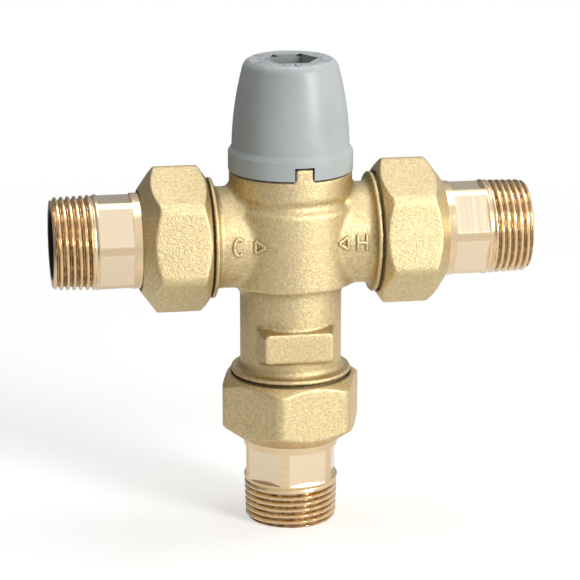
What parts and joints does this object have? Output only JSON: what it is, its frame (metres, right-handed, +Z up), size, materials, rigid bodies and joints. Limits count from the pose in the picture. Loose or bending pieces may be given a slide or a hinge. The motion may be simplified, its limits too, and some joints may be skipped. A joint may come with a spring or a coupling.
{
  "type": "thermostatic mixing valve",
  "caption": "Tee-shaped forged brass mixing valve with a union nut and threaded tail on each branch, a bell-shaped setting cap on top and a wax-element shuttle inside.",
  "frame": {"origin": "middle of the mixed outlet's end face, on the axis of the outlet and the cap", "axes": "+Z up along the outlet and cap axis, +X along the arms towards the hot inlet, +Y towards the back"},
  "size_m": [0.1348, 0.0396, 0.1337],
  "materials": {
    "forged_brass": "matt, as forged and blasted",
    "turned_brass": "bright turned",
    "cap_plastic": "semi-gloss blue-grey moulding",
    "inner_plastic": "smooth off-white moulding",
    "seal_rubber": "smooth black",
    "gasket_rubber": "flat black sheet",
    "spring_steel": "drawn stainless wire and strip",
    "strainer_steel": "pressed stainless sheet"
  },
  "bodies": {
    "valve": {"valve_body": "forged_brass", "bonnet": "turned_brass", "bonnet_seal": "seal_rubber", "flow_guide": "inner_plastic", "guide_clip": "spring_steel", "return_spring": "spring_steel", "hot_check_housing": "inner_plastic", "hot_check_seal": "seal_rubber", "hot_check_guide": "inner_plastic", "hot_check_spring": "spring_steel", "cold_check_housing": "inner_plastic", "cold_check_seal": "seal_rubber", "cold_check_guide": "inner_plastic", "cold_check_spring": "spring_steel"},
    "cap": {"setting_cap": "cap_plastic"},
    "setting_spindle": {"spindle": "turned_brass", "spindle_seal": "seal_rubber", "spindle_clip": "spring_steel"},
    "setting_nut": {"drive_nut": "turned_brass", "button_clip": "spring_steel", "overtravel_spring": "spring_steel"},
    "thrust": {"thrust_button": "spring_steel", "element_pin": "spring_steel"},
    "regulator": {"wax_element": "turned_brass", "shuttle": "inner_plastic", "shuttle_seal": "seal_rubber"},
    "hot_check": {"hot_check_poppet": "inner_plastic"},
    "cold_check": {"cold_check_poppet": "inner_plastic"},
    "hot_tail": {"hot_tailpiece": "turned_brass", "hot_union_gasket": "gasket_rubber", "hot_strainer": "strainer_steel"},
    "cold_tail": {"cold_tailpiece": "turned_brass", "cold_union_gasket": "gasket_rubber", "cold_strainer": "strainer_steel"},
    "mixed_tail": {"mixed_tailpiece": "turned_brass", "mixed_union_gasket": "gasket_rubber"},
    "hot_nut": {"hot_union_nut": "forged_brass"},
    "cold_nut": {"cold_union_nut": "forged_brass"},
    "mixed_nut": {"mixed_union_nut": "forged_brass"}
  },
  "joints": [
    {"name": "cap_lift", "type": "slide", "parent": "valve", "child": "cap", "axis": [0, 0, 1], "range_m": [0, 0.031]},
    {"name": "spindle_turn", "type": "hinge", "parent": "valve", "child": "setting_spindle", "pos_m": [0, 0, 0.12], "axis": [0, 0, 1], "range_deg": [-360, 360]},
    {"name": "setting_travel", "type": "slide", "parent": "valve", "child": "setting_nut", "axis": [0, 0, 1], "range_m": [-0.00125, 0.00125]},
    {"name": "overtravel", "type": "slide", "parent": "setting_nut", "child": "thrust", "axis": [0, 0, 1], "range_m": [0, 0.0015], "stiffness_N_per_m": 2000, "springref_m": -0.004, "deforming": ["overtravel_spring"]},
    {"name": "thermal_stroke", "type": "slide", "parent": "setting_nut", "child": "regulator", "axis": [0, 0, -1], "range_m": [0, 0.0016], "stiffness_N_per_m": 500, "springref_m": -0.004, "deforming": ["return_spring"]},
    {"name": "hot_check_lift", "type": "slide", "parent": "valve", "child": "hot_check", "axis": [-1, 0, 0], "range_m": [0, 0.0022], "stiffness_N_per_m": 100, "springref_m": -0.003, "deforming": ["hot_check_spring"]},
    {"name": "cold_check_lift", "type": "slide", "parent": "valve", "child": "cold_check", "axis": [1, 0, 0], "range_m": [0, 0.0022], "stiffness_N_per_m": 100, "springref_m": -0.003, "deforming": ["cold_check_spring"]},
    {"name": "hot_union_draw", "type": "slide", "parent": "valve", "child": "hot_tail", "axis": [1, 0, 0], "range_m": [0, 0.01154]},
    {"name": "cold_union_draw", "type": "slide", "parent": "valve", "child": "cold_tail", "axis": [-1, 0, 0], "range_m": [0, 0.01154]},
    {"name": "mixed_union_draw", "type": "slide", "parent": "valve", "child": "mixed_tail", "axis": [0, 0, -1], "range_m": [0, 0.01154]},
    {"name": "hot_nut_turn", "type": "hinge", "parent": "hot_tail", "child": "hot_nut", "pos_m": [0.04, 0, 0.0835], "axis": [1, 0, 0], "range_deg": [0, 1800]},
    {"name": "cold_nut_turn", "type": "hinge", "parent": "cold_tail", "child": "cold_nut", "pos_m": [-0.04, 0, 0.0835], "axis": [-1, 0, 0], "range_deg": [0, 1800]},
    {"name": "mixed_nut_turn", "type": "hinge", "parent": "mixed_tail", "child": "mixed_nut", "pos_m": [0, 0, 0.03], "axis": [0, 0, -1], "range_deg": [0, 1800]}
  ],
  "couplings": [
    {"joint": "setting_travel", "follows": "spindle_turn", "m_per_rad": 0.00019894},
    {"joint": "hot_nut_turn", "follows": "hot_union_draw", "rad_per_m": 2721.2},
    {"joint": "cold_nut_turn", "follows": "cold_union_draw", "rad_per_m": 2721.2},
    {"joint": "mixed_nut_turn", "follows": "mixed_union_draw", "rad_per_m": 2721.2}
  ]
}
